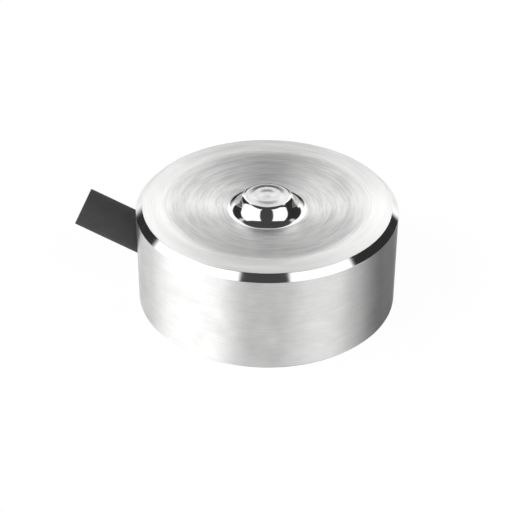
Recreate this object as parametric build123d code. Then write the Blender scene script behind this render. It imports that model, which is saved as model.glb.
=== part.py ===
from build123d import *
import math
import os

# Button load cell: a turned steel body with an integral diaphragm and load button, strain gauges
# under the diaphragm, a bridge board in the cavity, a base cover and a short shielded cable tail.
# Millimetres. Z is the load axis, the origin is the centre of the base ring, the cable leaves to -X.

# Height, stacked from the base up: cover rebate, room for the cable, board, room for the gauges,
# and the diaphragm, whose thickness is taken at the rim
REBATE_DEPTH = 0.8
CABLE_ROOM_H = 3.8
BOARD_T = 0.6
GAUGE_ROOM_H = 1.5
DIAPHRAGM_T = 1.5

# Body, outside and cavity
BODY_R = 10.0
TOP_CHAMFER = 0.5
BASE_CHAMFER = 0.15
CAVITY_R = 5.2
COVER_SEAT_W = 0.5
BOARD_SEAT_W = 0.6
DIAPHRAGM_CHAMFER = 0.4

# Load button: a low crown, a sloping flank, and the dished top that the flank runs into
BUTTON_R = 1.9
EDGE_ABOVE_RIM = 0.6
CROWN_H = 0.2
BUTTON_EDGE_FILLET = 0.45
FLANK_W = 0.6
FLANK_FILLET = 1.15
DISH_DEPTH = 0.6
DISH_R = 7.6

# Base cover
COVER_T = 0.6
COVER_CLEARANCE = 0.05
COVER_CHAMFER = 0.1

# Tapped holes in the base, drawn at the tapping drill
HOLE_COUNT = 3
HOLE_PCD = 15.0
TAP_DRILL_R = 1.025
HOLE_DEPTH = 4.0
DRILL_POINT = 118.0

# Cable section, from the conductors out
COPPER_R = 0.2
COPPER_CLEARANCE = 0.01
CORE_R = 0.42
CORE_GAP = 0.03
SHIELD_CLEARANCE = 0.02
SHIELD_T = 0.12
JACKET_R = 1.5

# Cable route: straight through the wall, turned upward inside the outlet, then straight to the cut
CABLE_BELOW_BOARD = 0.2
CABLE_RISE = 24.4
RISE_IN_WALL = 1.14
TAIL_L = 4.93
JACKET_PAST_CLAMP = 0.2
SHIELD_BARE = 0.15

# Cable outlet, with a rubber plug round the cable's turn
BORE_CLEARANCE = 0.1
GROMMET_WALL = 0.12
GROMMET_RECESS = 0.3
GROMMET_PAST_TURN = 0.1
CLAMP_WALL = 0.25
CLAMP_L = 0.9
CLAMP_CLEARANCE = 0.01
SEAT_GAP = 0.02

# Bridge board, with a flat that leaves room for the end of the jacket
BOARD_CLEARANCE = 0.1
BOARD_FLAT_GAP = 0.2
DRAIN_PAD_INSET = 0.9
UPPER_PAD_INSET = 1.9
PAD_SPACING = 2.2
PAD_HOLE_CLEARANCE = 0.05
STRIP_L = 0.5
SOLDER_GAP = 0.05
SOLDER_TIP_R = 0.25
SOLDER_H = 0.27

# Shield drain, from the end of the shield up to the board
DRAIN_W = 0.4
DRAIN_T = 0.1

# Strain gauges, four alike, strands along the radius
GAUGE_ANGLES = (45, 135, 225, 315)
FILM_EDGE_GAP = 0.15
FILM_MARGIN = 0.15
FILM_SIDE_MARGIN = 0.24
FILM_T = 0.05
GRID_T = 0.03
STRANDS = 6
STRAND_L = 1.0
STRAND_W = 0.075
STRAND_PITCH = 0.15
LOOP_L = 0.1
TAB_GAP = 0.15
TAB_L = 0.45
TAB_W = 0.33

# Gauge leads, flat ribbons from the tabs down to the board
LEAD_W = 0.12
LEAD_T = 0.05
LEAD_WALL_GAP = 0.55
LEAD_SPREAD = 0.45
LEAD_TOP_DROP = 0.42
LEAD_FOOT = 0.45

# Trim resistors on the board
RESISTOR_L = 1.2
RESISTOR_W = 0.6
RESISTOR_H = 0.4
RESISTOR_EDGE = 0.05
RESISTOR_WALL_GAP = 1.3
RESISTOR_FLAT_GAP = 0.8

# Levels
BOARD_Z = REBATE_DEPTH + CABLE_ROOM_H
BOARD_TOP_Z = BOARD_Z + BOARD_T
DIAPHRAGM_Z = BOARD_TOP_Z + GAUGE_ROOM_H
BODY_H = DIAPHRAGM_Z + DIAPHRAGM_T
EDGE_Z = BODY_H + EDGE_ABOVE_RIM
CROWN_Z = EDGE_Z + CROWN_H
FOOT_Z = BODY_H - DISH_DEPTH
TAB_Z = DIAPHRAGM_Z - FILM_T - GRID_T

# Radii
FOOT_R = BUTTON_R + FLANK_W
REBATE_R = CAVITY_R + COVER_SEAT_W
GAUGE_ROOM_R = CAVITY_R - BOARD_SEAT_W
CORE_OFFSET = CORE_R + CORE_GAP
SHIELD_BORE_R = CORE_OFFSET * math.sqrt(2) + CORE_R + SHIELD_CLEARANCE
SHIELD_R = SHIELD_BORE_R + SHIELD_T
BORE_R = JACKET_R + BORE_CLEARANCE
CLAMP_BORE_R = JACKET_R + CLAMP_CLEARANCE
CLAMP_R = CLAMP_BORE_R + CLAMP_WALL
SOLDER_R = CORE_OFFSET - SOLDER_GAP

# Cable levels, its outlet, its turn and its cut end
RISE = math.radians(CABLE_RISE)
CABLE_Z = BOARD_Z - CABLE_BELOW_BOARD - SHIELD_R
WALL_Z = CABLE_Z + RISE_IN_WALL
GROMMET_Z = CABLE_Z + RISE_IN_WALL / 2
GROMMET_R = RISE_IN_WALL / 2 + JACKET_R / math.cos(RISE) + GROMMET_WALL
BEND_X = -BODY_R + RISE_IN_WALL / math.tan(RISE)
CUT_X = -BODY_R - TAIL_L * math.cos(RISE)
CUT_Z = WALL_Z + TAIL_L * math.sin(RISE)

# Places along the cable inside the body
GROMMET_FACE_X = -BODY_R + GROMMET_RECESS
GROMMET_START_X = BEND_X + JACKET_R * math.tan(RISE / 2) + GROMMET_PAST_TURN
CLAMP_START_X = -math.sqrt(CAVITY_R**2 - CLAMP_R**2) + SEAT_GAP
CLAMP_END_X = CLAMP_START_X + CLAMP_L
JACKET_START_X = CLAMP_END_X + JACKET_PAST_CLAMP
SHIELD_START_X = JACKET_START_X + SHIELD_BARE
BOARD_FLAT_X = JACKET_START_X + BOARD_FLAT_GAP
DRAIN_PAD_X = BOARD_FLAT_X + DRAIN_PAD_INSET
UPPER_PAD_X = BOARD_FLAT_X + UPPER_PAD_INSET
LOWER_PAD_X = UPPER_PAD_X + PAD_SPACING

# Places along a gauge, from its outer end in
FILM_END_R = GAUGE_ROOM_R - DIAPHRAGM_CHAMFER - FILM_EDGE_GAP
TAB_END_R = FILM_END_R - FILM_MARGIN
TAB_START_R = TAB_END_R - TAB_L
GRID_END_R = TAB_START_R - TAB_GAP
GRID_START_R = GRID_END_R - STRAND_L
FILM_START_R = GRID_START_R - FILM_MARGIN
GRID_HALF_W = (STRANDS - 1) / 2 * STRAND_PITCH + STRAND_W / 2
LEAD_PAD_R = GAUGE_ROOM_R - LEAD_WALL_GAP

# Each core's side and level in the cable, and where its bare copper turns up into the board
CORES = {
    "red": (1, 1, UPPER_PAD_X),
    "black": (-1, 1, UPPER_PAD_X),
    "green": (1, -1, LOWER_PAD_X),
    "white": (-1, -1, LOWER_PAD_X),
}

# Each resistor's place on the board and its turn
RESISTOR_R = GAUGE_ROOM_R - RESISTOR_WALL_GAP
RESISTORS = {
    "zero": (0, RESISTOR_R, 0),
    "span": (0, -RESISTOR_R, 0),
    "zero_drift": (RESISTOR_R, 0, 90),
    "span_drift": (BOARD_FLAT_X + RESISTOR_FLAT_GAP, 0, 90),
}

os.makedirs("parts", exist_ok=True)


def save(name, shape):
    export_step(shape, f"parts/{name}.step")


def pipe(points, outer, inner=0.0):
    """A round bar or tube along straight runs, mitred where they meet."""
    path = Polyline(*points)
    section = Circle(outer) - Circle(inner) if inner else Circle(outer)
    return sweep(Plane(path @ 0, z_dir=path % 0) * section, path=path, transition=Transition.RIGHT)


def ribbon(points, width, thickness):
    """A flat strip along straight runs, its width along Y."""
    path = Polyline(*points)
    section = Plane(path @ 0, x_dir=(0, 1, 0), z_dir=path % 0) * Rectangle(width, thickness)
    return sweep(section, path=path, transition=Transition.RIGHT)


def cable_points(start_x, side=0.0, lift=0.0):
    """Start, bend and cut end of a line that runs beside the cable's own axis."""
    start = (start_x, side, CABLE_Z + lift)
    bend = (BEND_X + lift * math.tan(RISE / 2), side, CABLE_Z + lift)
    cut = (CUT_X + lift * math.sin(RISE), side, CUT_Z + lift * math.cos(RISE))
    return [start, bend, cut]


def along_x(radius, x_from, x_to, z):
    return Pos((x_from + x_to) / 2, 0, z) * Rot(0, 90, 0) * Cylinder(radius, abs(x_to - x_from))


def at_angle(radius, degrees, z):
    a = math.radians(degrees)
    return Pos(radius * math.cos(a), radius * math.sin(a), z)


def body_profile():
    """Half section: crown, flank, dish, rim, outside, and the stepped cavity."""
    dome_r = (BUTTON_R**2 + CROWN_H**2) / (2 * CROWN_H)
    half = math.asin(BUTTON_R / dome_r) / 2
    dome_mid = (dome_r * math.sin(half), CROWN_Z - dome_r + dome_r * math.cos(half))
    outline = [
        ThreePointArc((0, CROWN_Z), dome_mid, (BUTTON_R, EDGE_Z)),
        Polyline(
            (BUTTON_R, EDGE_Z),
            (FOOT_R, FOOT_Z),
            (DISH_R, BODY_H),
            (BODY_R - TOP_CHAMFER, BODY_H),
            (BODY_R, BODY_H - TOP_CHAMFER),
            (BODY_R, BASE_CHAMFER),
            (BODY_R - BASE_CHAMFER, 0),
            (REBATE_R, 0),
            (REBATE_R, REBATE_DEPTH),
            (CAVITY_R, REBATE_DEPTH),
            (CAVITY_R, BOARD_TOP_Z),
            (GAUGE_ROOM_R, BOARD_TOP_Z),
            (GAUGE_ROOM_R, DIAPHRAGM_Z),
            (0, DIAPHRAGM_Z),
            (0, CROWN_Z),
        ),
    ]
    face = make_face(outline)

    def corner(x, z):
        return face.vertices().sort_by_distance((x, z, 0))[0]

    face = fillet(corner(BUTTON_R, EDGE_Z), BUTTON_EDGE_FILLET)
    face = fillet(corner(FOOT_R, FOOT_Z), FLANK_FILLET)
    return Plane.XZ * chamfer(corner(GAUGE_ROOM_R, DIAPHRAGM_Z), DIAPHRAGM_CHAMFER)


def make_body():
    body = revolve(body_profile(), axis=Axis.Z)
    point_h = TAP_DRILL_R / math.tan(math.radians(DRILL_POINT / 2))
    for i in range(HOLE_COUNT):
        spot = at_angle(HOLE_PCD / 2, i * 360 / HOLE_COUNT, HOLE_DEPTH / 2)
        tip = at_angle(HOLE_PCD / 2, i * 360 / HOLE_COUNT, HOLE_DEPTH + point_h / 2)
        body -= spot * Cylinder(TAP_DRILL_R, HOLE_DEPTH) + tip * Cone(TAP_DRILL_R, 0, point_h)
    body -= along_x(BORE_R, -BODY_R, 0, CABLE_Z)
    body -= along_x(GROMMET_R, -2 * BODY_R, GROMMET_START_X, GROMMET_Z)
    return body


def make_cover():
    cover = Pos(0, 0, REBATE_DEPTH - COVER_T / 2) * Cylinder(REBATE_R - COVER_CLEARANCE, COVER_T)
    return chamfer(cover.edges().sort_by(Axis.Z)[0], COVER_CHAMFER)


def make_grommet():
    plug = along_x(GROMMET_R, GROMMET_FACE_X, GROMMET_START_X, GROMMET_Z)
    return plug - pipe(cable_points(JACKET_START_X), JACKET_R)


def make_clamp():
    ring = along_x(CLAMP_R, CLAMP_START_X, CLAMP_END_X, CABLE_Z)
    return ring - along_x(CLAMP_BORE_R, -BODY_R, 0, CABLE_Z)


def make_board():
    radius = CAVITY_R - BOARD_CLEARANCE
    board = Cylinder(radius, BOARD_T)
    board -= Pos(BOARD_FLAT_X - radius, 0, 0) * Box(2 * radius, 2 * radius, 2 * BOARD_T)
    for side, _, pad_x in CORES.values():
        board -= Pos(pad_x, side * CORE_OFFSET, 0) * Cylinder(COPPER_R + PAD_HOLE_CLEARANCE, 2 * BOARD_T)
    return Pos(0, 0, BOARD_Z + BOARD_T / 2) * board


def make_core(side, level, pad_x):
    points = cable_points(pad_x - STRIP_L, side * CORE_OFFSET, level * CORE_OFFSET)
    return pipe(points, CORE_R, COPPER_R + COPPER_CLEARANCE)


def make_copper(side, level, pad_x):
    pad = (pad_x, side * CORE_OFFSET, BOARD_TOP_Z)
    return pipe([pad] + cable_points(pad_x, side * CORE_OFFSET, level * CORE_OFFSET), COPPER_R)


def make_solder(side, pad_x):
    spot = Pos(pad_x, side * CORE_OFFSET, BOARD_TOP_Z + SOLDER_H / 2)
    return spot * Cone(SOLDER_R, SOLDER_TIP_R, SOLDER_H)


def make_film():
    length = FILM_END_R - FILM_START_R
    width = 2 * (GRID_HALF_W + FILM_SIDE_MARGIN)
    return Pos(FILM_START_R + length / 2, 0, DIAPHRAGM_Z - FILM_T / 2) * Box(length, width, FILM_T)


def make_grid():
    """A foil grid folded back and forth, both tabs at its outer end."""
    z = TAB_Z + GRID_T / 2

    def bar(x_from, x_to, y_from, y_to):
        return Pos((x_from + x_to) / 2, (y_from + y_to) / 2, z) * Box(x_to - x_from, y_to - y_from, GRID_T)

    lines = [(i - (STRANDS - 1) / 2) * STRAND_PITCH for i in range(STRANDS)]
    half = STRAND_W / 2
    bars = [bar(GRID_START_R, GRID_END_R, y - half, y + half) for y in lines]
    for i, (y, y_next) in enumerate(zip(lines, lines[1:])):
        x = GRID_START_R if i % 2 == 0 else GRID_END_R - LOOP_L
        bars.append(bar(x, x + LOOP_L, y - half, y_next + half))
    for y, side in ((lines[0], 1), (lines[-1], -1)):
        edge = -side * GRID_HALF_W
        bars.append(bar(GRID_END_R - LOOP_L, TAB_START_R + half, y - half, y + half))
        bars.append(bar(TAB_START_R, TAB_END_R, *sorted((edge, edge + side * TAB_W))))
    return bars[0].fuse(*bars[1:]).clean()


def make_lead(side):
    tab = (TAB_START_R + TAB_L / 2, side * (GRID_HALF_W - TAB_W / 2))
    pad = (LEAD_PAD_R, side * LEAD_SPREAD)
    points = [
        (*tab, TAB_Z),
        (*tab, TAB_Z - LEAD_TOP_DROP),
        (*pad, BOARD_TOP_Z + LEAD_FOOT),
        (*pad, BOARD_TOP_Z),
    ]
    return ribbon(points, LEAD_W, LEAD_T)


def make_drain():
    z = CABLE_Z + SHIELD_R - SHIELD_T / 2
    points = [(SHIELD_START_X, 0, z), (DRAIN_PAD_X, 0, z), (DRAIN_PAD_X, 0, BOARD_Z)]
    return ribbon(points, DRAIN_W, DRAIN_T)


def make_resistor(x, y, turn):
    chip = Box(RESISTOR_L, RESISTOR_W, RESISTOR_H)
    chip = chamfer(chip.edges().filter_by(Axis.Z), RESISTOR_EDGE)
    return Pos(x, y, BOARD_TOP_Z + RESISTOR_H / 2) * Rot(0, 0, turn) * chip


save("body", make_body())
save("base_cover", make_cover())
save("bridge_board", make_board())
save("outlet_grommet", make_grommet())
save("cable_clamp", make_clamp())
save("cable_jacket", pipe(cable_points(JACKET_START_X), JACKET_R, SHIELD_R))
save("cable_shield", pipe(cable_points(SHIELD_START_X), SHIELD_R, SHIELD_BORE_R))
save("shield_drain", make_drain())

for colour, (side, level, pad_x) in CORES.items():
    save(f"core_{colour}", make_core(side, level, pad_x))
    save(f"copper_{colour}", make_copper(side, level, pad_x))
    save(f"solder_{colour}", make_solder(side, pad_x))

for number, angle in enumerate(GAUGE_ANGLES, start=1):
    turn = Rot(0, 0, angle)
    save(f"gauge_film_{number}", turn * make_film())
    save(f"gauge_grid_{number}", turn * make_grid())
    save(f"gauge_lead_{number}a", turn * make_lead(1))
    save(f"gauge_lead_{number}b", turn * make_lead(-1))

for name, (x, y, turn) in RESISTORS.items():
    save(f"trim_{name}", make_resistor(x, y, turn))
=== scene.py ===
from collections import namedtuple
import math

import bmesh
import bpy
from mathutils import Matrix, Vector


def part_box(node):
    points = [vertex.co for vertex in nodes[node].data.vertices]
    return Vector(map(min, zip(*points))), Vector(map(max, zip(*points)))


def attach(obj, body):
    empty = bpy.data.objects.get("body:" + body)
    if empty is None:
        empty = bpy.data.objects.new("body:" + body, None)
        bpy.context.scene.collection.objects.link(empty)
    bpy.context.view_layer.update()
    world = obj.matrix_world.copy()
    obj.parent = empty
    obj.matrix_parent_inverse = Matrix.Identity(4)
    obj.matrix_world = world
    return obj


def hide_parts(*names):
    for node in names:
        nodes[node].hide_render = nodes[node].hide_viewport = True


# Button load cell. Lengths are in millimetres until a mesh is made, and then in metres.
MM = 0.001

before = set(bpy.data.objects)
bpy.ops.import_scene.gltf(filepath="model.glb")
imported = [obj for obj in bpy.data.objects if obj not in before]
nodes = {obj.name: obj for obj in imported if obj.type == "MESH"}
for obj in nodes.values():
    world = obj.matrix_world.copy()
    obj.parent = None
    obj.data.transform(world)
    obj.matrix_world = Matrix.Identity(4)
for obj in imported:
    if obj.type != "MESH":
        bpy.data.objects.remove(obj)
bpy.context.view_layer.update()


def span(node, axis):
    """Lowest and highest place of a CAD node along an axis, in millimetres."""
    low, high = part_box(node)
    return low[axis] / MM, high[axis] / MM


X, Y, Z = range(3)

# Camera, fitted to the rim, chamfer and base of the body in the photograph
CAMERA_AT = (14.56, -99.51, 71.28)
CAMERA_YAW = 8.8
CAMERA_PITCH = 34.07
CAMERA_ROLL = 0.28
CAMERA_LENS = 109.7
SENSOR_W = 36.0

# Body outside
BODY_R = span("body", Y)[1]
BODY_H = 8.2
TOP_CHAMFER = 0.5
BASE_CHAMFER = 0.15
EDGE_BREAK = 0.035
CROWN_Z = span("body", Z)[1]
EDGE_Z = 8.8
BUTTON_R = 1.9
BUTTON_EDGE_FILLET = 0.45
FOOT_R = 2.5
FLANK_FILLET = 1.15
DISH_DEPTH = 0.6
DISH_R = 7.6
DISH_BLEND = 10.0

# Body inside
REBATE_R = 5.7
REBATE_DEPTH = 0.8
CAVITY_R = 5.2
BOARD_TOP_Z = span("bridge_board", Z)[1]
GAUGE_ROOM_R = 4.6
DIAPHRAGM_Z = span("gauge_film_1", Z)[1]
DIAPHRAGM_CHAMFER = 0.4

# Tapped holes
HOLE_COUNT = 3
HOLE_CIRCLE_R = 7.5
TAP_DRILL_R = 1.025
THREAD_DEPTH = 0.2
THREAD_PITCH = 0.45
THREAD_L = 3.4
HOLE_DEPTH = 4.0
DRILL_POINT_H = 0.62
COUNTERSINK_R = 1.36
MOUTH_CLEARANCE = 0.3

# Cable section
COPPER_R = 0.2
COPPER_CLEARANCE = 0.01
CORE_R = 0.42
CORE_OFFSET = 0.45
SHIELD_CLEARANCE = 0.02
SHIELD_T = 0.12
SHIELD_BORE_R = CORE_OFFSET * math.sqrt(2) + CORE_R + SHIELD_CLEARANCE
SHIELD_R = SHIELD_BORE_R + SHIELD_T
JACKET_R = 1.5
BORE_R = 1.6
# Side and level of each core in the cable
CORES = {"red": (1, 1), "black": (-1, 1), "green": (1, -1), "white": (-1, -1)}

# Cable route: level inside the body, a turn upward in the outlet, then straight to the cut end
RISE = math.radians(24.4)
RISE_IN_WALL = 1.14
TAIL_L = 4.93
TURN_R = 2.2
CABLE_Z = sum(span("cable_clamp", Z)) / 2
BEND_X = -BODY_R + RISE_IN_WALL / math.tan(RISE)
CUT_X = -BODY_R - TAIL_L * math.cos(RISE)
CUT_Z = CABLE_Z + RISE_IN_WALL + TAIL_L * math.sin(RISE)


# Shader nodes


class Graph:
    """Short calls that add and link nodes in one material, world or group."""

    def __init__(self, tree):
        self.tree = tree

    def add(self, kind, inputs=(), **settings):
        node = self.tree.nodes.new(kind)
        for name, value in settings.items():
            setattr(node, name, value)
        for name, value in dict(inputs).items():
            self.put(node.inputs[name], value)
        return node

    def put(self, socket, value):
        if isinstance(value, bpy.types.NodeSocket):
            self.tree.links.new(value, socket)
        else:
            socket.default_value = value

    def math(self, operation, a, b=0.0):
        node = self.add("ShaderNodeMath", operation=operation)
        self.put(node.inputs[0], a)
        self.put(node.inputs[1], b)
        return node.outputs[0]

    def smooth(self, value, low, high, start=0.0, end=1.0):
        inputs = {"Value": value, "From Min": low, "From Max": high, "To Min": start, "To Max": end}
        return self.add("ShaderNodeMapRange", inputs, interpolation_type="SMOOTHSTEP").outputs["Result"]

    def spread(self, value, start, end, low=0.3, high=0.7):
        """A noise value, taken from its usual range to another."""
        inputs = {"Value": value, "From Min": low, "From Max": high, "To Min": start, "To Max": end}
        return self.add("ShaderNodeMapRange", inputs).outputs["Result"]

    def blend(self, factor, a, b):
        node = self.add("ShaderNodeMix", data_type="RGBA")
        for socket, value in ((node.inputs["Factor"], factor), (node.inputs[6], a), (node.inputs[7], b)):
            self.put(socket, value)
        return node.outputs[2]

    def noise(self, vector, scale, detail=2.0, roughness=0.5):
        inputs = {"Vector": vector, "Scale": scale, "Detail": detail, "Roughness": roughness}
        return self.add("ShaderNodeTexNoise", inputs).outputs["Fac"]

    def vector(self, x, y, z):
        return self.add("ShaderNodeCombineXYZ", {"X": x, "Y": y, "Z": z}).outputs[0]

    def group(self, tree, inputs):
        node = self.add("ShaderNodeGroup", node_tree=tree)
        for name, value in inputs.items():
            self.put(node.inputs[name], value)
        return node.outputs


def new_group(name, inputs, outputs):
    """A shader node group. Inputs are named vectors (None) or numbers with their usual value."""
    tree = bpy.data.node_groups.new(name, "ShaderNodeTree")
    for label, value in inputs.items():
        kind = "NodeSocketVector" if value is None else "NodeSocketFloat"
        socket = tree.interface.new_socket(label, in_out="INPUT", socket_type=kind)
        if value is not None:
            socket.default_value = value
    for label in outputs:
        tree.interface.new_socket(label, in_out="OUTPUT", socket_type="NodeSocketFloat")
    graph = Graph(tree)
    return graph, graph.add("NodeGroupInput").outputs, graph.add("NodeGroupOutput").inputs


# Studio: what the metal mirrors, by direction from the body


def panel_group():
    """One soft-edged panel of the studio, as a mask over azimuth and elevation in degrees."""
    inputs = {
        "Azimuth": 0.0,
        "Elevation": 0.0,
        "Centre": 0.0,
        "Half width": 30.0,
        "Bottom": 0.0,
        "Top": 50.0,
        "Side softness": 3.0,
        "Height softness": 3.0,
    }
    g, given, out = new_group("studio panel", inputs, ["Mask"])

    def inside(margin, softness):
        return g.smooth(g.math("DIVIDE", margin, given[softness]), -1.0, 1.0)

    turned = g.math("ADD", g.math("SUBTRACT", given["Azimuth"], given["Centre"]), 540.0)
    apart = g.math("ABSOLUTE", g.math("SUBTRACT", g.math("FLOORED_MODULO", turned, 360.0), 180.0))
    across = inside(g.math("SUBTRACT", given["Half width"], apart), "Side softness")
    above = inside(g.math("SUBTRACT", given["Elevation"], given["Bottom"]), "Height softness")
    below = inside(g.math("SUBTRACT", given["Top"], given["Elevation"]), "Height softness")
    g.put(out["Mask"], g.math("MULTIPLY", across, g.math("MULTIPLY", above, below)))
    return g.tree


# Azimuth runs clockwise from above, in degrees, from the side that the photograph is taken from
STUDIO_SIDE = CAMERA_YAW
CEILING = 0.06
BACKDROP = 1.0
Panel = namedtuple("Panel", "centre half_width bottom top side_softness height_softness brightness")
PANELS = [
    # The table all round, and its bright and shaded parts
    Panel(0, 200, -100, 2, 3, 3, 1.0),
    Panel(287, 35, -95, 0, 14, 3, 1.45),
    Panel(0, 30, -95, 2, 14, 4, 0.78),
    Panel(150, 79, -95, 0, 6, 4, 0.6),
    Panel(150, 49, -95, 0, 26, 4, 0.15),
    Panel(143, 13, -95, 0, 9, 4, 0.01),
    Panel(209, 23, -95, 2, 5, 4, 0.85),
    Panel(232, 18, -95, 0, 3, 3, 0.8),
    # The wall behind, its foot, a shade high on it and the gap in it
    Panel(182, 70, -24, 0, 5, 5, 0.92),
    Panel(181, 19, -36, -16, 4, 4, 0.85),
    Panel(182, 70, -3, 53, 5, 4, 1.28),
    Panel(180, 6, 34, 60, 5, 3, 0.62),
    Panel(180, 21, -4, 23.5, 9, 3, 0.0),
    # Softboxes left and right of the camera, and the flags beside them
    Panel(290.5, 40.5, -4, 58, 2.5, 2, 1.3),
    Panel(54, 30, -4, 57.5, 2.5, 2, 1.25),
    Panel(114.5, 30.5, 9, 50, 3, 4, 0.03),
    Panel(111.5, 27.5, -12, 14, 3, 4, 0.03),
    Panel(231, 19, 9, 50, 2.5, 4, 0.03),
    Panel(231, 19, 0, 14, 2.5, 4, 0.03),
]


def make_world():
    world = bpy.data.worlds.new("studio")
    world.use_nodes = True
    g = Graph(world.node_tree)
    world.node_tree.nodes.clear()
    direction = g.add("ShaderNodeTexCoord").outputs["Generated"]
    turn = {"Vector": direction, "Angle": -math.radians(STUDIO_SIDE)}
    turned = g.add("ShaderNodeVectorRotate", turn, rotation_type="Z_AXIS").outputs["Vector"]
    x, y, z = g.add("ShaderNodeSeparateXYZ", {"Vector": turned}).outputs
    azimuth = g.math("DEGREES", g.math("ARCTAN2", x, g.math("MULTIPLY", y, -1.0)))
    elevation = g.math("DEGREES", g.math("ARCSINE", z))
    light = CEILING
    group = panel_group()
    for panel in PANELS:
        mask = g.group(group, {
            "Azimuth": azimuth,
            "Elevation": elevation,
            "Centre": panel.centre,
            "Half width": panel.half_width,
            "Bottom": panel.bottom,
            "Top": panel.top,
            "Side softness": panel.side_softness,
            "Height softness": panel.height_softness,
        })["Mask"]
        light = g.add("ShaderNodeMix", {"Factor": mask, "A": light, "B": panel.brightness}).outputs["Result"]
    studio = g.add("ShaderNodeBackground", {"Color": (1, 1, 1, 1), "Strength": light})
    backdrop = g.add("ShaderNodeBackground", {"Color": (1, 1, 1, 1), "Strength": BACKDROP})
    shown = g.add("ShaderNodeMixShader", {"Fac": g.add("ShaderNodeLightPath").outputs["Is Camera Ray"]})
    g.put(shown.inputs[1], studio.outputs[0])
    g.put(shown.inputs[2], backdrop.outputs[0])
    g.add("ShaderNodeOutputWorld", {"Surface": shown.outputs[0]})
    bpy.context.scene.world = world


FLOOR_SIZE = 1500.0
FLOOR_SHADOW = 0.2
FLOOR_WHITE = 1.14


def make_floor():
    """A white floor whose own white covers most of the shadow that falls on it. From below it is clear."""
    half = FLOOR_SIZE / 2 * MM
    mesh = bpy.data.meshes.new("floor")
    corners = [(-half, -half, 0), (half, -half, 0), (half, half, 0), (-half, half, 0)]
    mesh.from_pydata(corners, [], [(0, 1, 2, 3)])
    floor = bpy.data.objects.new("floor", mesh)
    bpy.context.scene.collection.objects.link(floor)
    material = bpy.data.materials.new("floor")
    material.use_nodes = True
    g = Graph(material.node_tree)
    g.tree.nodes.clear()
    paper = g.add("ShaderNodeBsdfDiffuse", {"Color": (0.9, 0.9, 0.9, 1)})
    white = g.add("ShaderNodeEmission", {"Strength": FLOOR_WHITE})
    seen = g.add("ShaderNodeLightPath").outputs["Is Camera Ray"]
    mix = g.add("ShaderNodeMixShader", {"Fac": g.math("MULTIPLY", seen, 1 - FLOOR_SHADOW)})
    g.put(mix.inputs[1], paper.outputs[0])
    g.put(mix.inputs[2], white.outputs[0])
    side = g.add("ShaderNodeMixShader", {"Fac": g.add("ShaderNodeNewGeometry").outputs["Backfacing"]})
    g.put(side.inputs[1], mix.outputs[0])
    g.put(side.inputs[2], g.add("ShaderNodeBsdfTransparent").outputs[0])
    g.add("ShaderNodeOutputMaterial", {"Surface": side.outputs[0]})
    mesh.materials.append(material)
    floor.visible_glossy = False


def make_camera():
    camera = bpy.data.objects.new("camera", bpy.data.cameras.new("camera"))
    camera.data.sensor_width = SENSOR_W
    camera.data.lens = CAMERA_LENS
    camera.data.clip_start = 0.001
    camera.location = Vector(CAMERA_AT) * MM
    yaw = Matrix.Rotation(math.radians(CAMERA_YAW), 3, "Z")
    pitch = Matrix.Rotation(math.radians(90 - CAMERA_PITCH), 3, "X")
    roll = Matrix.Rotation(math.radians(CAMERA_ROLL), 3, "Z")
    camera.rotation_euler = (yaw @ pitch @ roll).to_euler()
    bpy.context.scene.collection.objects.link(camera)
    bpy.context.scene.camera = camera
    bpy.context.scene.view_settings.view_transform = "Standard"


# Effects that several materials share


def turning_group():
    """Marks of a turning tool: fine lines along one coordinate that fade in and out round the axis."""
    inputs = {"Point": None, "Across": 0.0, "Lines per mm": 8.0, "Patch size": 1.0, "Breaks": 1.0}
    g, given, out = new_group("turning marks", inputs, ["Lines", "Patches"])
    flat = g.add("ShaderNodeVectorMath", {0: given["Point"], 1: (1, 1, 0)}, operation="MULTIPLY")
    around = g.add("ShaderNodeVectorMath", {0: flat.outputs[0]}, operation="NORMALIZE")
    x, y, _ = g.add("ShaderNodeSeparateXYZ", {"Vector": around.outputs[0]}).outputs
    row = g.math("MULTIPLY", given["Across"], given["Lines per mm"])
    fine = g.vector(g.math("MULTIPLY", x, given["Breaks"]), g.math("MULTIPLY", y, given["Breaks"]), row)
    g.put(out["Lines"], g.noise(fine, 1.0, 3.0, 0.65))
    band = g.math("DIVIDE", given["Across"], given["Patch size"])
    g.put(out["Patches"], g.noise(g.vector(x, y, band), 1.6, 3.0, 0.55))
    return g.tree


def grain_group():
    """A fine even grain and a broad soft shade, for rubber, plastic and laminate."""
    inputs = {"Point": None, "Grain size": 0.1, "Shade size": 1.0}
    g, given, out = new_group("fine grain", inputs, ["Grain", "Shade"])
    g.put(out["Grain"], g.noise(given["Point"], g.math("DIVIDE", 1.0, given["Grain size"]), 3.0, 0.6))
    g.put(out["Shade"], g.noise(given["Point"], g.math("DIVIDE", 1.0, given["Shade size"]), 2.0))
    return g.tree


def handling_group():
    """Marks of handling on metal, over two lengths along the surface: crossing scratches and smudges."""
    g, given, out = new_group("handling marks", {"Along": 0.0, "Across": 0.0}, ["Scratches", "Smudges"])
    scratches = 0.0
    for slant, seed in ((0.55, 3.0), (-1.3, 11.0)):
        lean = g.math("ADD", given["Across"], g.math("MULTIPLY", given["Along"], slant))
        run = g.math("SUBTRACT", given["Along"], g.math("MULTIPLY", given["Across"], slant))
        stroke = g.vector(g.math("MULTIPLY", lean, 9.0), g.math("MULTIPLY", run, 0.35), seed)
        scratches = g.math("MAXIMUM", scratches, g.smooth(g.noise(stroke, 1.0, 1.0), 0.7, 0.76))
    g.put(out["Scratches"], scratches)
    g.put(out["Smudges"], g.noise(g.vector(given["Along"], given["Across"], 0.0), 0.5, 3.0, 0.6))
    return g.tree


TURNING = turning_group()
GRAIN = grain_group()
HANDLING = handling_group()

Spot = namedtuple("Spot", "point x y z radius turn")


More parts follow.
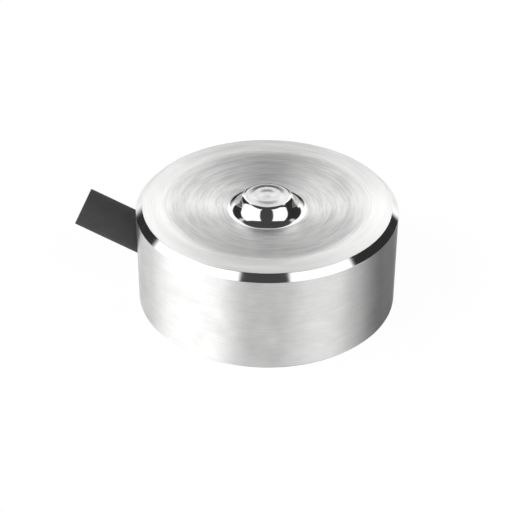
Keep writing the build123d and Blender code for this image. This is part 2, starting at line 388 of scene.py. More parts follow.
def spot_on(g):
    """The point on the piece in millimetres, with its distance from the load axis and its turn round it."""
    at = g.add("ShaderNodeTexCoord").outputs["Object"]
    point = g.add("ShaderNodeVectorMath", {0: at, "Scale": 1 / MM}, operation="SCALE").outputs[0]
    x, y, z = g.add("ShaderNodeSeparateXYZ", {"Vector": point}).outputs
    radius = g.math("SQRT", g.math("ADD", g.math("MULTIPLY", x, x), g.math("MULTIPLY", y, y)))
    return Spot(point, x, y, z, radius, g.math("ARCTAN2", y, x))


def new_material(name, metallic=0.0):
    material = bpy.data.materials.new(name)
    material.use_nodes = True
    g = Graph(material.node_tree)
    shader = g.tree.nodes["Principled BSDF"]
    shader.inputs["Metallic"].default_value = metallic
    return material, g, shader


def bump(g, shader, height, strength, depth):
    """Bump of a depth in millimetres."""
    inputs = {"Height": height, "Strength": strength, "Distance": depth * MM}
    g.put(shader.inputs["Normal"], g.add("ShaderNodeBump", inputs).outputs["Normal"])


def spun(g, shader, anisotropy):
    """Reflections drawn out across marks that run round the load axis."""
    shader.inputs["Anisotropic"].default_value = anisotropy
    shader.inputs["Anisotropic Rotation"].default_value = 0.25
    g.put(shader.inputs["Tangent"], g.add("ShaderNodeTangent", direction_type="RADIAL", axis="Z").outputs[0])


# Steel


STEEL = (0.86, 0.86, 0.855, 1)
STEEL_DARK = (0.7, 0.7, 0.695, 1)


# Distances from the load axis between which the dish's finish fades into the rim's
RIM_FADE = (6.8, 8.2)


def turned_top():
    """Dish and rim in one: broken tool marks in the dish, which fade to a finer finish on the rim."""
    material, g, shader = new_material("turned top", 1.0)
    spot = spot_on(g)
    marks = g.group(TURNING, {
        "Point": spot.point,
        "Across": spot.radius,
        "Lines per mm": 6.0,
        "Patch size": 1.1,
        "Breaks": 2.4,
    })
    dish = g.smooth(spot.radius, *RIM_FADE, 1.0, 0.12)
    streaks = g.math("MULTIPLY", g.spread(marks["Lines"], -0.9, 0.9), dish)
    shade = g.math("ADD", g.spread(marks["Patches"], 0.45, 0.85), streaks)
    g.put(shader.inputs["Base Color"], g.blend(shade, STEEL_DARK, STEEL))
    rough = g.smooth(spot.radius, *RIM_FADE, 0.36, 0.21)
    g.put(shader.inputs["Roughness"], g.math("MULTIPLY", g.spread(marks["Patches"], 1.1, 0.9), rough))
    bump(g, shader, g.math("MULTIPLY", marks["Lines"], dish), 0.8, 0.02)
    spun(g, shader, 0.85)
    return material


def turned_side():
    """The outer wall: fine lines round it, soft clouds and faint scratches."""
    material, g, shader = new_material("turned side", 1.0)
    spot = spot_on(g)
    marks = g.group(TURNING, {
        "Point": spot.point,
        "Across": spot.z,
        "Lines per mm": 6.0,
        "Patch size": 1.8,
        "Breaks": 6.0,
    })
    handling = g.group(HANDLING, {"Along": g.math("MULTIPLY", spot.turn, BODY_R), "Across": spot.z})
    shade = g.math("ADD", g.spread(marks["Lines"], 0.2, 0.6), g.spread(handling["Smudges"], -0.1, 0.3))
    g.put(shader.inputs["Base Color"], g.blend(shade, STEEL_DARK, STEEL))
    scored = g.math("MULTIPLY", handling["Scratches"], 0.06)
    g.put(shader.inputs["Roughness"], g.math("ADD", g.spread(handling["Smudges"], 0.4, 0.32), scored))
    height = g.math("SUBTRACT", marks["Lines"], g.math("MULTIPLY", handling["Scratches"], 0.3))
    bump(g, shader, height, 0.3, 0.01)
    spun(g, shader, 0.85)
    return material


CROWN_RINGS = (0.65, 1.4)
CROWN_RING_W = 0.45


def satin_crown():
    """The crown of the button: satin, with the faint rings that the tool leaves."""
    material, g, shader = new_material("satin crown", 1.0)
    spot = spot_on(g)
    marks = g.group(TURNING, {
        "Point": spot.point,
        "Across": spot.radius,
        "Lines per mm": 14.0,
        "Patch size": 0.8,
    })
    shader.inputs["Base Color"].default_value = STEEL
    g.put(shader.inputs["Roughness"], g.spread(marks["Patches"], 0.28, 0.34))
    apart = [g.math("ABSOLUTE", g.math("SUBTRACT", spot.radius, ring)) for ring in CROWN_RINGS]
    rings = g.smooth(g.math("MINIMUM", *apart), 0.0, CROWN_RING_W)
    bump(g, shader, g.math("ADD", rings, g.math("MULTIPLY", marks["Lines"], 0.1)), 1.0, 0.032)
    return material


def steel(name, across, lines, patch, rough, depth, colours=(STEEL_DARK, STEEL)):
    """A turned metal face. across names the coordinate that its lines lie across."""
    material, g, shader = new_material(name, 1.0)
    spot = spot_on(g)
    marks = g.group(TURNING, {
        "Point": spot.point,
        "Across": getattr(spot, across),
        "Lines per mm": lines,
        "Patch size": patch,
        "Breaks": 1.5,
    })
    g.put(shader.inputs["Base Color"], g.blend(g.spread(marks["Patches"], 0.2, 1.0), *colours))
    g.put(shader.inputs["Roughness"], g.spread(marks["Patches"], *rough))
    bump(g, shader, marks["Lines"], 0.4, depth)
    return material


def brushed_cover():
    """The cover's sheet: straight brush lines and a few scratches."""
    material, g, shader = new_material("brushed cover", 1.0)
    spot = spot_on(g)
    stroke = g.vector(g.math("MULTIPLY", spot.x, 0.4), g.math("MULTIPLY", spot.y, 14.0), spot.z)
    brush = g.noise(stroke, 1.0, 3.0, 0.7)
    handling = g.group(HANDLING, {"Along": spot.x, "Across": spot.y})
    g.put(shader.inputs["Base Color"], g.blend(g.spread(brush, 0.0, 1.0), STEEL_DARK, STEEL))
    g.put(shader.inputs["Roughness"], g.spread(handling["Smudges"], 0.38, 0.3))
    bump(g, shader, g.math("SUBTRACT", brush, g.math("MULTIPLY", handling["Scratches"], 0.4)), 0.4, 0.01)
    return material


WELD_STRAW = (0.62, 0.5, 0.33, 1)


def weld_steel():
    """The weld bead, with a straw tint that comes and goes."""
    material, g, shader = new_material("weld steel", 1.0)
    grain = g.group(GRAIN, {"Point": spot_on(g).point, "Grain size": 0.08, "Shade size": 0.7})
    g.put(shader.inputs["Base Color"], g.blend(g.spread(grain["Shade"], 0.0, 0.8), STEEL, WELD_STRAW))
    g.put(shader.inputs["Roughness"], g.spread(grain["Grain"], 0.24, 0.4))
    bump(g, shader, grain["Grain"], 0.3, 0.01)
    return material


# Rubber, plastic, copper and the small parts inside


def plain(name, dark, light, rough, grain_size, depth, specular=0.5, metallic=0.0):
    """A surface with an even grain and a soft shade from dark to light."""
    material, g, shader = new_material(name, metallic)
    sizes = {"Grain size": grain_size, "Shade size": grain_size * 12}
    grain = g.group(GRAIN, {"Point": spot_on(g).point, **sizes})
    g.put(shader.inputs["Base Color"], g.blend(g.spread(grain["Shade"], 0.0, 1.0), dark, light))
    g.put(shader.inputs["Roughness"], g.spread(grain["Grain"], *rough))
    bump(g, shader, grain["Grain"], 0.3, depth)
    shader.inputs["Specular IOR Level"].default_value = specular
    return material


def grey(level):
    return (level, level, level, 1)


def shade_of(colour, share):
    return tuple(c * share for c in colour[:3]) + (1,)


def jacket_sheath():
    """The cable's outer sheath: matt, with faint lines drawn along it by the die."""
    material, g, shader = new_material("jacket sheath")
    spot = spot_on(g)
    grain = g.group(GRAIN, {"Point": spot.point, "Grain size": 0.07, "Shade size": 1.2})
    round_axis = g.math("ARCTAN2", spot.y, g.math("SUBTRACT", spot.z, CABLE_Z + RISE_IN_WALL))
    stroke = g.vector(g.math("MULTIPLY", round_axis, 18.0), g.math("MULTIPLY", spot.x, 0.2), 0.0)
    drawn = g.noise(stroke, 1.0, 2.0)
    shade = g.math("ADD", g.spread(grain["Shade"], 0.2, 0.6), g.spread(drawn, 0.0, 0.3))
    g.put(shader.inputs["Base Color"], g.blend(shade, (0.077, 0.078, 0.077, 1), (0.098, 0.1, 0.099, 1)))
    g.put(shader.inputs["Roughness"], g.spread(grain["Grain"], 0.62, 0.75))
    bump(g, shader, g.math("ADD", grain["Grain"], g.math("MULTIPLY", drawn, 0.6)), 0.3, 0.01)
    shader.inputs["Specular IOR Level"].default_value = 0.25
    return material


BRAID_WIRES = 12.0
BRAID_LEAN = 12.0


def woven_braid():
    """Tinned wires woven round the cores, over and under each other, with painted shade where they dip."""
    material, g, shader = new_material("woven braid", 1.0)
    spot = spot_on(g)
    round_axis = g.math("ARCTAN2", spot.y, g.math("SUBTRACT", spot.z, CABLE_Z))
    weave_and_shade = 0.0
    for sign in (1, -1):
        wires = g.math("MULTIPLY", round_axis, BRAID_WIRES * sign)
        lean = g.math("ADD", wires, g.math("MULTIPLY", spot.x, BRAID_LEAN))
        weave_and_shade = g.math("MAXIMUM", weave_and_shade, g.math("SINE", lean))
    # The colour is darker where the wires dip under each other: painted shade in the hollows between the
    # wires
    g.put(shader.inputs["Base Color"], g.blend(weave_and_shade, (0.4, 0.39, 0.37, 1), (0.78, 0.77, 0.74, 1)))
    g.put(shader.inputs["Roughness"], g.spread(weave_and_shade, 0.45, 0.25, 0.0, 1.0))
    bump(g, shader, weave_and_shade, 0.6, 0.03)
    return material


CLOTH_THREADS = 21.0


def board_laminate():
    """Glass laminate under a green mask, with the cloth just showing through."""
    material, g, shader = new_material("board laminate")
    spot = spot_on(g)
    grain = g.group(GRAIN, {"Point": spot.point, "Grain size": 0.1, "Shade size": 2.0})
    warp, weft = [g.math("SINE", g.math("MULTIPLY", along, CLOTH_THREADS)) for along in (spot.x, spot.y)]
    cloth = g.math("MULTIPLY", warp, weft)
    shade = g.math("ADD", g.spread(cloth, 0.3, 0.6, -1.0, 1.0), g.spread(grain["Shade"], -0.2, 0.2))
    g.put(shader.inputs["Base Color"], g.blend(shade, (0.008, 0.055, 0.02, 1), (0.02, 0.11, 0.045, 1)))
    g.put(shader.inputs["Roughness"], g.spread(grain["Grain"], 0.3, 0.42))
    bump(g, shader, cloth, 0.1, 0.01)
    return material


def gauge_foil():
    """Rolled foil: a copper-nickel alloy with fine rolling lines."""
    material, g, shader = new_material("gauge foil", 1.0)
    spot = spot_on(g)
    stroke = g.vector(g.math("MULTIPLY", spot.x, 2.0), g.math("MULTIPLY", spot.y, 30.0), 0.0)
    rolled = g.noise(stroke, 1.0, 2.0)
    shade = g.spread(rolled, 0.0, 1.0)
    g.put(shader.inputs["Base Color"], g.blend(shade, (0.5, 0.4, 0.32, 1), (0.68, 0.57, 0.46, 1)))
    g.put(shader.inputs["Roughness"], g.spread(rolled, 0.4, 0.28))
    bump(g, shader, rolled, 0.2, 0.005)
    return material


CHIP_END = 0.16


def chip_resistor(name, axis):
    """A chip with tinned ends and a dark glazed middle, along an axis."""
    material, g, shader = new_material(name)
    box = g.add("ShaderNodeTexCoord").outputs["Generated"]
    share = g.add("ShaderNodeSeparateXYZ", {"Vector": box}).outputs[axis]
    from_end = g.math("MINIMUM", share, g.math("SUBTRACT", 1.0, share))
    grain = g.group(GRAIN, {"Point": spot_on(g).point, "Grain size": 0.05, "Shade size": 0.5})
    edge = g.math("ADD", from_end, g.spread(grain["Shade"], -0.01, 0.01))
    tinned = g.smooth(edge, CHIP_END - 0.01, CHIP_END + 0.01, 1.0, 0.0)
    g.put(shader.inputs["Base Color"], g.blend(tinned, (0.015, 0.016, 0.02, 1), (0.72, 0.71, 0.68, 1)))
    g.put(shader.inputs["Metallic"], tinned)
    rough = g.math("ADD", g.spread(grain["Grain"], 0.25, 0.35), g.math("MULTIPLY", tinned, 0.1))
    g.put(shader.inputs["Roughness"], rough)
    bump(g, shader, grain["Grain"], 0.3, 0.01)
    return material


# Lines in a plane


def bend(before, corner, after, radius, step):
    """The arc that rounds a corner, as (point, direction) pairs, with a step in degrees."""
    before, corner, after = Vector(before), Vector(corner), Vector(after)
    into = (corner - before).normalized()
    away = (after - corner).normalized()
    turn = math.atan2(into.x * away.y - into.y * away.x, into.dot(away))
    side = math.copysign(radius, turn)
    start = corner - into * radius * math.tan(abs(turn) / 2)
    centre = start + Vector((-into.y, into.x)) * side
    steps = math.ceil(math.degrees(abs(turn)) / step)
    pairs = []
    for k in range(steps + 1):
        along = Matrix.Rotation(turn * k / steps, 2) @ into
        pairs.append((centre - Vector((-along.y, along.x)) * side, along))
    return pairs


def rounded(before, corner, after, radius, step):
    return [tuple(point) for point, _ in bend(before, corner, after, radius, step)]


def arc(centre, radius, start, end, steps):
    """Points of an arc, angles in radians from +X."""
    angles = [start + (end - start) * i / steps for i in range(steps + 1)]
    return [(centre[0] + radius * math.cos(a), centre[1] + radius * math.sin(a)) for a in angles]


# Body


def button_section():
    """Crown and upper edge of the button, down to the start of its flank."""
    cap_h = CROWN_Z - EDGE_Z
    dome_r = (BUTTON_R**2 + cap_h**2) / (2 * cap_h)
    dome = Vector((0, CROWN_Z - dome_r))
    corner = Vector((BUTTON_R, EDGE_Z))
    down = (Vector((FOOT_R, BODY_H - DISH_DEPTH)) - corner).normalized()

    # The fillet's centre lies one radius inside the flank, and the fillet touches the dome from inside
    start = corner + Vector((down.y, -down.x)) * BUTTON_EDGE_FILLET
    lead = (start - dome).dot(down)
    reach = (start - dome).length_squared - (dome_r - BUTTON_EDGE_FILLET) ** 2
    centre = start - down * (lead + math.sqrt(lead**2 - reach))
    on_dome = math.atan2(centre.y - dome.y, centre.x - dome.x)
    crown = arc(dome, dome_r, math.pi / 2, on_dome, 30)
    edge = arc(centre, BUTTON_EDGE_FILLET, on_dome, math.atan2(down.x, -down.y), 12)
    return crown, edge


def body_section():
    """The section as (finish, points) stretches, from the crown outwards, down and in."""
    crown, edge = button_section()
    corner, foot = (BUTTON_R, EDGE_Z), (FOOT_R, BODY_H - DISH_DEPTH)
    dish_end, rim = (DISH_R, BODY_H), (BODY_R - TOP_CHAMFER, BODY_H)
    shoulder, heel = (BODY_R, BODY_H - TOP_CHAMFER), (BODY_R, BASE_CHAMFER)
    base, rebate, step = (BODY_R - BASE_CHAMFER, 0), (REBATE_R, 0), (REBATE_R, REBATE_DEPTH)
    flank = rounded(corner, foot, dish_end, FLANK_FILLET, 3)
    return [
        ("crown", crown),
        ("polish", edge),
        ("polish", flank[:-6]),
        ("top", flank[-6:]),
        ("top", rounded(foot, dish_end, rim, DISH_BLEND, 1)),
        ("polish", rounded(dish_end, rim, shoulder, EDGE_BREAK, 30)),
        ("side", rounded(rim, shoulder, heel, EDGE_BREAK, 30)),
        ("edge", rounded(shoulder, heel, base, EDGE_BREAK, 30)),
        ("base", rounded(heel, base, rebate, EDGE_BREAK, 30)),
        ("inside", rounded(base, rebate, step, EDGE_BREAK, 30)),
        ("inside", [step, (CAVITY_R, REBATE_DEPTH), (CAVITY_R, BOARD_TOP_Z)]),
        ("inside", [(GAUGE_ROOM_R, BOARD_TOP_Z), (GAUGE_ROOM_R, DIAPHRAGM_Z - DIAPHRAGM_CHAMFER)]),
        ("inside", [(GAUGE_ROOM_R - DIAPHRAGM_CHAMFER, DIAPHRAGM_Z), (0, DIAPHRAGM_Z)]),
    ]


def linked(name, mesh):
    """A new object of the mesh, its normals facing outwards."""
    bm = bmesh.new()
    bm.from_mesh(mesh)
    bmesh.ops.recalc_face_normals(bm, faces=bm.faces)
    bm.to_mesh(mesh)
    bm.free()
    piece = bpy.data.objects.new(name, mesh)
    bpy.context.scene.collection.objects.link(piece)
    return piece


def lathe(name, stretches, finish_names, steps):
    """A closed solid, still in millimetres, from a section that starts and ends on the axis."""
    section = []
    for finish, run in stretches:
        for r, z in run:
            if section and math.dist((r, z), section[-1][:2]) < 1e-5:
                section.pop()
            section.append((r, z, finish_names.index(finish)))
    verts, rings = [], []
    for r, z, _ in section:
        if r < 1e-6:
            rings.append([len(verts)] * steps)
            verts.append((0, 0, z))
        else:
            rings.append(list(range(len(verts), len(verts) + steps)))
            turns = [2 * math.pi * (i + 0.5) / steps for i in range(steps)]
            verts += [(r * math.cos(a), r * math.sin(a), z) for a in turns]
    faces, index = [], []
    for (_, _, finish), upper, lower in zip(section, rings, rings[1:]):
        for i in range(steps):
            j = (i + 1) % steps
            faces.append(tuple(dict.fromkeys((upper[i], lower[i], lower[j], upper[j]))))
            index.append(finish)
    mesh = bpy.data.meshes.new(name)
    mesh.from_pydata(verts, [], faces)
    mesh.polygons.foreach_set("material_index", index)
    return linked(name, mesh)


def bar_along_x(name, radius, x_from, x_to, z, steps):
    """A round bar that is cut away from the body."""
    length = x_to - x_from
    section = [("cut", [(0, 0), (radius, 0), (radius, length), (0, length)])]
    bar = lathe(name, section, ["cut"], steps)
    bar.data.transform(Matrix.Rotation(math.pi / 2, 4, "Y"))
    bar.data.transform(Matrix.Translation((x_from, 0, z)))
    return bar


def tap(x, y):
    """A drilled and threaded hole with a countersunk mouth, as the solid that is cut away."""
    steps, rows_per_turn = 48, 4
    row_h = THREAD_PITCH / rows_per_turn
    rows = [-MOUTH_CLEARANCE] + [row_h * (k + 0.5) for k in range(int(THREAD_L / row_h))]
    rows += [THREAD_L + THREAD_PITCH / 2, HOLE_DEPTH]
    verts = []
    for z in rows:
        for i in range(steps):
            share = i / steps
            wave = abs(((z / THREAD_PITCH - share) % 1) * 2 - 1)
            r = TAP_DRILL_R + (THREAD_DEPTH * wave if 0 < z < THREAD_L else 0)
            r = max(r, COUNTERSINK_R - max(z, 0))
            a = 2 * math.pi * share
            verts.append((x + r * math.cos(a), y + r * math.sin(a), z))
    verts += [(x, y, rows[0]), (x, y, HOLE_DEPTH + DRILL_POINT_H)]
    last = (len(rows) - 1) * steps
    faces = []
    for i in range(steps):
        j = (i + 1) % steps
        faces += [(k + i, k + j, k + steps + j, k + steps + i) for k in range(0, last, steps)]
        faces += [(j, i, len(verts) - 2), (last + i, last + j, len(verts) - 1)]
    mesh = bpy.data.meshes.new("tap")
    mesh.from_pydata(verts, [], faces)
    return linked("tap", mesh)


def cut(piece, cutters, finish):
    """Takes the cutters away from the piece. The cut faces get the finish of that number."""
    for cutter in cutters:
        for _ in range(finish + 1):
            cutter.data.materials.append(None)
        cutter.data.polygons.foreach_set("material_index", [finish] * len(cutter.data.polygons))
        modifier = piece.modifiers.new("cut", "BOOLEAN")
        modifier.operation = "DIFFERENCE"
        modifier.solver = "EXACT"
        modifier.object = cutter
    bpy.context.view_layer.update()
    graph = bpy.context.evaluated_depsgraph_get()
    mesh = bpy.data.meshes.new_from_object(piece.evaluated_get(graph))
    piece.modifiers.clear()
    piece.data = mesh
    for cutter in cutters:
        bpy.data.objects.remove(cutter)


def smooth(piece, sharp_angle):
    """Smooth shading, with sharp edges where the form turns by more than an angle in degrees."""
    mesh = piece.data
    mesh.polygons.foreach_set("use_smooth", [True] * len(mesh.polygons))
    mesh.set_sharp_from_angle(angle=math.radians(sharp_angle))


def fit(piece, replaced=None):
    """The piece rides on the body and may stand for a CAD node, which it hides."""
    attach(piece, "root")
    if replaced:
        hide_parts(replaced)


BODY_STEPS = 288
# Less than the first turn of an edge break, so that the flats beside it are shaded flat
BODY_SHARP_ANGLE = 9


def make_body():
    finishes = {
        "crown": satin_crown(),
        "polish": steel("polished steel", "radius", 14.0, 0.8, (0.05, 0.09), 0.003, (STEEL, STEEL)),
        "top": turned_top(),
        "side": turned_side(),
        "edge": steel("machined edge", "z", 8.0, 1.5, (0.3, 0.24), 0.005),
        "base": steel("faced base", "radius", 5.0, 2.0, (0.42, 0.3), 0.02),
        "inside": steel("machined inside", "z", 6.0, 1.2, (0.5, 0.4), 0.02),
    }
    names = list(finishes)
    body = lathe("body_steel", body_section(), names, BODY_STEPS)
    for material in finishes.values():
        body.data.materials.append(material)
    plug_z = sum(span("outlet_grommet", Z)) / 2
    outside = -BODY_R - 1
    cutters = [
        bar_along_x("bore", BORE_R, outside, 0, CABLE_Z, 64),
        bar_along_x("seat", span("outlet_grommet", Y)[1], outside, span("outlet_grommet", X)[1], plug_z, 96),
    ]
    for i in range(HOLE_COUNT):
        a = 2 * math.pi * i / HOLE_COUNT
        cutters.append(tap(HOLE_CIRCLE_R * math.cos(a), HOLE_CIRCLE_R * math.sin(a)))
    cut(body, cutters, names.index("inside"))
    body.data.transform(Matrix.Scale(MM, 4))
    smooth(body, BODY_SHARP_ANGLE)
    fit(body, "body")


WELD_W = 0.22
WELD_H = 0.06
WELD_SPOTS = 110


def make_weld():
    """The weld that closes the gap round the cover: spots that overlap along one ring."""
    radius = (span("base_cover", Y)[1] + REBATE_R) / 2
    level = span("base_cover", Z)[0]
    steps, rows = WELD_SPOTS * 6, 8
    verts = []
    for i in range(steps):
        a = 2 * math.pi * i / steps
        u = (i / 6 % 1) * 2 - 1
        swell = 0.6 + 0.4 * math.sqrt(1 - u * u)
        for k in range(rows):
            t = 2 * math.pi * k / rows
            r = radius + WELD_W / 2 * swell * math.cos(t)
            z = level - WELD_H * swell * math.sin(t)
            verts.append((r * math.cos(a) * MM, r * math.sin(a) * MM, z * MM))
    faces = []
    for i in range(steps):
        near, far = i * rows, (i + 1) % steps * rows
        faces += [(near + k, near + (k + 1) % rows, far + (k + 1) % rows, far + k) for k in range(rows)]
    mesh = bpy.data.meshes.new("weld_seam")
    mesh.from_pydata(verts, [], faces)
    weld = linked("weld_seam", mesh)
    mesh.materials.append(weld_steel())
    smooth(weld, 60)
    fit(weld)


# Cable


def cable_route(start_x, lift):
    """(point, direction) pairs in the XZ plane, above or below the cable's axis, out to the cut end."""
    start = Vector((start_x, CABLE_Z + lift))
    turn = Vector((BEND_X + lift * math.tan(RISE / 2), CABLE_Z + lift))
    end = Vector((CUT_X + lift * math.sin(RISE), CUT_Z + lift * math.cos(RISE)))
    pairs = bend(start, turn, end, TURN_R - lift, 4)
    return [(start, pairs[0][1])] + pairs + [(end, pairs[-1][1])]


def skin(bm, rings, steps, looped=False):
    """Faces over round rings, each (centre, direction in the XZ plane, radius), band by band."""
    rows = []
    for centre, along, radius in rings:
        across, up = Vector((0, radius, 0)), Vector((-along.y, 0, along.x)) * radius
        turns = [2 * math.pi * i / steps for i in range(steps)]
        rows.append([bm.verts.new((centre + across * math.cos(a) + up * math.sin(a)) * MM) for a in turns])
    if looped:
        rows.append(rows[0])
    else:
        bm.faces.new(rows[0])
        bm.faces.new(rows[-1])
    bands = []
    for near, far in zip(rows, rows[1:]):
        quads = [(near[i - 1], near[i], far[i], far[i - 1]) for i in range(steps)]
        bands.append([bm.faces.new(quad) for quad in quads])
    return bands


def mesh_piece(name, bm, materials):
    mesh = bpy.data.meshes.new(name)
    bm.to_mesh(mesh)
    bm.free()
    piece = linked(name, mesh)
    for material in materials:
        mesh.materials.append(material)
    return piece


def sleeve(name, route, side, outer, inner, edge, steps, material, cut_material):
    """A tube along a route, with broken edges and a finish of its own on the cut end."""
    end, along = route[-1]
    outside = [(at, way, outer) for at, way in route[:-1]]
    inside = [(at, way, inner) for at, way in reversed(route[:-1])]
    mouth = [
        (end - along * edge, along, outer),
        (end, along, outer - edge),
        (end, along, inner + edge),
        (end - along * edge, along, inner),
    ]
    rings = [(Vector((at.x, side, at.y)), way, radius) for at, way, radius in outside + mouth + inside]
    bm = bmesh.new()
    bands = skin(bm, rings, steps, looped=True)
    for face in bands[len(outside) + 1]:
        face.material_index = 1
    piece = mesh_piece(name, bm, [material, cut_material])
    smooth(piece, 40)
    return piece


WIRE_COUNT = 7
WIRE_R = COPPER_R / 3
WIRE_LAY = 3.2
WIRE_STEP = 0.16


def stranded(name, route, side, material):
    """One wire in the middle and the rest twisted round it."""
    fine, walked = [], 0.0
    for (at, along), (after, _) in zip(route, route[1:]):
        length = (after - at).length
        parts = math.ceil(length / WIRE_STEP)
        fine += [(at.lerp(after, k / parts), along, walked + length * k / parts) for k in range(parts)]
        walked += length
    fine.append((*route[-1], walked))
    bm = bmesh.new()
    for wire in range(WIRE_COUNT):
        off = 2 * WIRE_R if wire else 0.0
        rings = []
        for at, along, gone in fine:
            turn = 2 * math.pi * (gone / WIRE_LAY + wire / (WIRE_COUNT - 1))
            across, up = off * math.cos(turn), off * math.sin(turn)
            centre = Vector((at.x - along.y * up, side + across, at.y + along.x * up))
            rings.append((centre, along, WIRE_R))
        skin(bm, rings, 8)
    piece = mesh_piece(name, bm, [material])
    smooth(piece, 50)
    return piece


INSULATION = {
    "red": (0.5, 0.014, 0.012, 1),
    "black": (0.016, 0.016, 0.017, 1),
    "green": (0.014, 0.2, 0.045, 1),
    "white": (0.72, 0.71, 0.67, 1),
}
PAD_BEND_R = 0.25
# Broken edges of the jacket at the cut end, and of the tubes inside it
CUT_EDGE = 0.05
FINE_EDGE = 0.02


def pad_of(colour):
    """The middle of a core's pad on the board."""
    return Vector((span(f"copper_{colour}", X)[1] - COPPER_R, CORES[colour][0] * CORE_OFFSET))


def make_cable():
    cut_sheath = plain("cut sheath", grey(0.05), grey(0.085), (0.7, 0.85), 0.05, 0.02, 0.2)
    braid = woven_braid()
    copper = plain("drawn copper", (0.62, 0.25, 0.12, 1), (0.86, 0.45, 0.27, 1), (0.22, 0.38), 0.04, 0.006,
                   metallic=1.0)
    route = cable_route(span("cable_jacket", X)[1], 0)
    jacket = sleeve("cable_sheath", route, 0, JACKET_R, SHIELD_R, CUT_EDGE, 96, jacket_sheath(), cut_sheath)
    fit(jacket, "cable_jacket")
    route = cable_route(span("cable_shield", X)[1], 0)
    shield = sleeve("cable_braid", route, 0, SHIELD_R, SHIELD_BORE_R, FINE_EDGE, 72, braid, braid)
    fit(shield, "cable_shield")
    for colour, (side, level) in CORES.items():
        paint = INSULATION[colour]
        skin_finish = plain(f"{colour} insulation", shade_of(paint, 0.82), paint, (0.32, 0.45), 0.06, 0.006)
        cut_finish = plain(f"cut {colour} insulation", shade_of(paint, 0.7), paint, (0.6, 0.75), 0.03, 0.02)
        route = cable_route(span(f"core_{colour}", X)[1], level * CORE_OFFSET)
        bore = COPPER_R + COPPER_CLEARANCE
        tube = (side * CORE_OFFSET, CORE_R, bore, FINE_EDGE, 40)
        core = sleeve(f"{colour}_core", route, *tube, skin_finish, cut_finish)
        fit(core, f"core_{colour}")
        pad_x = pad_of(colour).x
        outward = cable_route(pad_x, level * CORE_OFFSET)
        pad = Vector((pad_x, BOARD_TOP_Z))
        up = bend(pad, outward[0][0], outward[1][0], PAD_BEND_R, 15)
        wires = stranded(f"{colour}_wires", [(pad, up[0][1])] + up + outward[1:], side * CORE_OFFSET, copper)
        fit(wires, f"copper_{colour}")


# Board


TRACK_W = 0.16
TRACK_T = 0.03
LEAD_PAD_W = 0.4
LEAD_PAD_SPREAD = 3.0
PAD_RING_R = 0.33
PAD_RING_W = 0.14
CHIP_PAD = 0.42
# Where a gauge's leads meet the board: out from the axis, and to each side of the gauge
LEAD_AT = (4.05, 0.45)
LEAD_R = math.hypot(*LEAD_AT)
LEAD_TURN = math.degrees(math.atan2(LEAD_AT[1], LEAD_AT[0]))
FLAT_TRACK_X = span("bridge_board", X)[0] + 0.25
FLAT_TRACK_Y = 2.3
# The quarter of the bridge that each trim resistor sits in, in degrees, and the core that it goes on to
BRIDGE_CORNERS = {
    "trim_zero": (90, "red"),
    "trim_span": (270, "white"),
    "trim_zero_drift": (0, "green"),
    "trim_span_drift": (180, "black"),
}


def strip(bm, points, width):
    """A flat strip on the board along straight runs."""
    points = [Vector(point) for point in points]
    rows = []
    for k, point in enumerate(points):
        along = points[min(k + 1, len(points) - 1)] - points[max(k - 1, 0)]
        off = Vector((-along.y, along.x)).normalized() * width / 2
        low, high = BOARD_TOP_Z, BOARD_TOP_Z + TRACK_T
        corners = ((point + off, low), (point - off, low), (point - off, high), (point + off, high))
        rows.append([bm.verts.new(Vector((at.x, at.y, z)) * MM) for at, z in corners])
    bm.faces.new(rows[0])
    bm.faces.new(rows[-1])
    for near, far in zip(rows, rows[1:]):
        for i in range(4):
            bm.faces.new((near[i - 1], near[i], far[i], far[i - 1]))


def around(centre, radius, start, end, step=6.0):
    """Points along an arc, angles in degrees."""
    steps = max(2, math.ceil(abs(end - start) / step))
    return arc(centre, radius, math.radians(start), math.radians(end), steps)


def chip_ends(chip):
    """The middles of a chip's two ends, along its longer side."""
    (x_low, x_high), (y_low, y_high) = span(chip, X), span(chip, Y)
    x, y = (x_low + x_high) / 2, (y_low + y_high) / 2
    ends = [(x_low, y), (x_high, y)]
    if y_high - y_low > x_high - x_low:
        ends = [(x, y_low), (x, y_high)]
    return ends


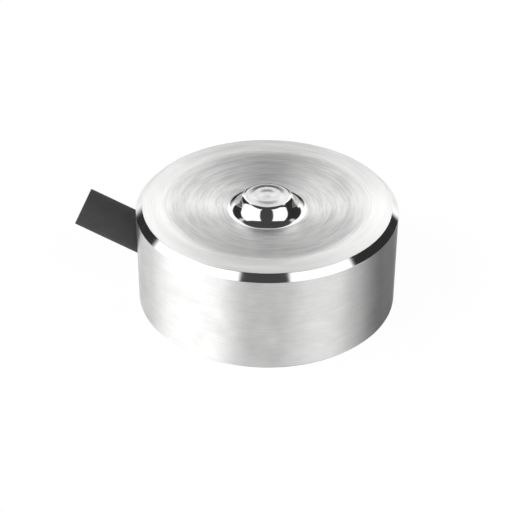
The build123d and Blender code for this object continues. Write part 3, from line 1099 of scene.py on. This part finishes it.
def make_board_tracks():
    """Pads and tracks: each corner of the bridge joins two gauges, and a trim resistor to its core."""
    bm = bmesh.new()
    for colour in CORES:
        strip(bm, around(pad_of(colour), PAD_RING_R, 0, 354), PAD_RING_W)
    for gauge in (45, 135, 225, 315):
        for turn in (gauge - LEAD_TURN, gauge + LEAD_TURN):
            strip(bm, around((0, 0), LEAD_R, turn - LEAD_PAD_SPREAD, turn + LEAD_PAD_SPREAD), LEAD_PAD_W)
    for chip, (corner, colour) in BRIDGE_CORNERS.items():
        near, far = chip_ends(chip)
        for x, y in (near, far):
            strip(bm, [(x - CHIP_PAD / 2, y), (x + CHIP_PAD / 2, y)], CHIP_PAD)
        join = around((0, 0), LEAD_R, corner - 45 + LEAD_TURN, corner + 45 - LEAD_TURN)
        if corner == 180:
            join = [join[0], (FLAT_TRACK_X, FLAT_TRACK_Y), (FLAT_TRACK_X, -FLAT_TRACK_Y), join[-1]]
        strip(bm, join, TRACK_W)
        tap_point = min(join, key=lambda point: math.dist(point, near))
        strip(bm, [tap_point, near], TRACK_W)
        strip(bm, [far, pad_of(colour)], TRACK_W)
    tracks = mesh_piece("board_tracks", bm, [tinned_copper("tinned tracks")])
    fit(tracks)


def tinned_copper(name):
    return plain(name, (0.58, 0.57, 0.54, 1), (0.8, 0.79, 0.76, 1), (0.24, 0.4), 0.05, 0.008, metallic=1.0)


BRASS = ((0.5, 0.33, 0.12, 1), (0.72, 0.52, 0.24, 1))
AMBER = ((0.34, 0.13, 0.02, 1), (0.5, 0.22, 0.04, 1))


def dress_frame():
    """Finishes for the CAD nodes that stay as they are, by the start of their names."""
    tinned = tinned_copper("tinned copper")
    chips = [chip_resistor("chip resistor along x", X), chip_resistor("chip resistor along y", Y)]
    finishes = {
        "base_cover": brushed_cover(),
        "bridge_board": board_laminate(),
        "outlet_grommet": plain("plug rubber", grey(0.012), grey(0.024), (0.6, 0.78), 0.06, 0.02, 0.3),
        "cable_clamp": steel("clamp brass", "x", 8.0, 0.8, (0.34, 0.24), 0.01, BRASS),
        "shield_drain": tinned,
        "gauge_lead": tinned,
        "solder": plain("solder", grey(0.6), grey(0.82), (0.12, 0.28), 0.09, 0.02, metallic=1.0),
        "gauge_film": plain("gauge film", *AMBER, (0.25, 0.35), 0.12, 0.004),
        "gauge_grid": gauge_foil(),
    }
    for chip in BRIDGE_CORNERS:
        (x_low, x_high), (y_low, y_high) = span(chip, X), span(chip, Y)
        finishes[chip] = chips[Y if y_high - y_low > x_high - x_low else X]
    for name, node in nodes.items():
        for start, material in finishes.items():
            if name.startswith(start):
                for slot in node.material_slots:
                    slot.material = material


make_camera()
make_world()
make_floor()
make_body()
make_weld()
make_cable()
make_board_tracks()
dress_frame()
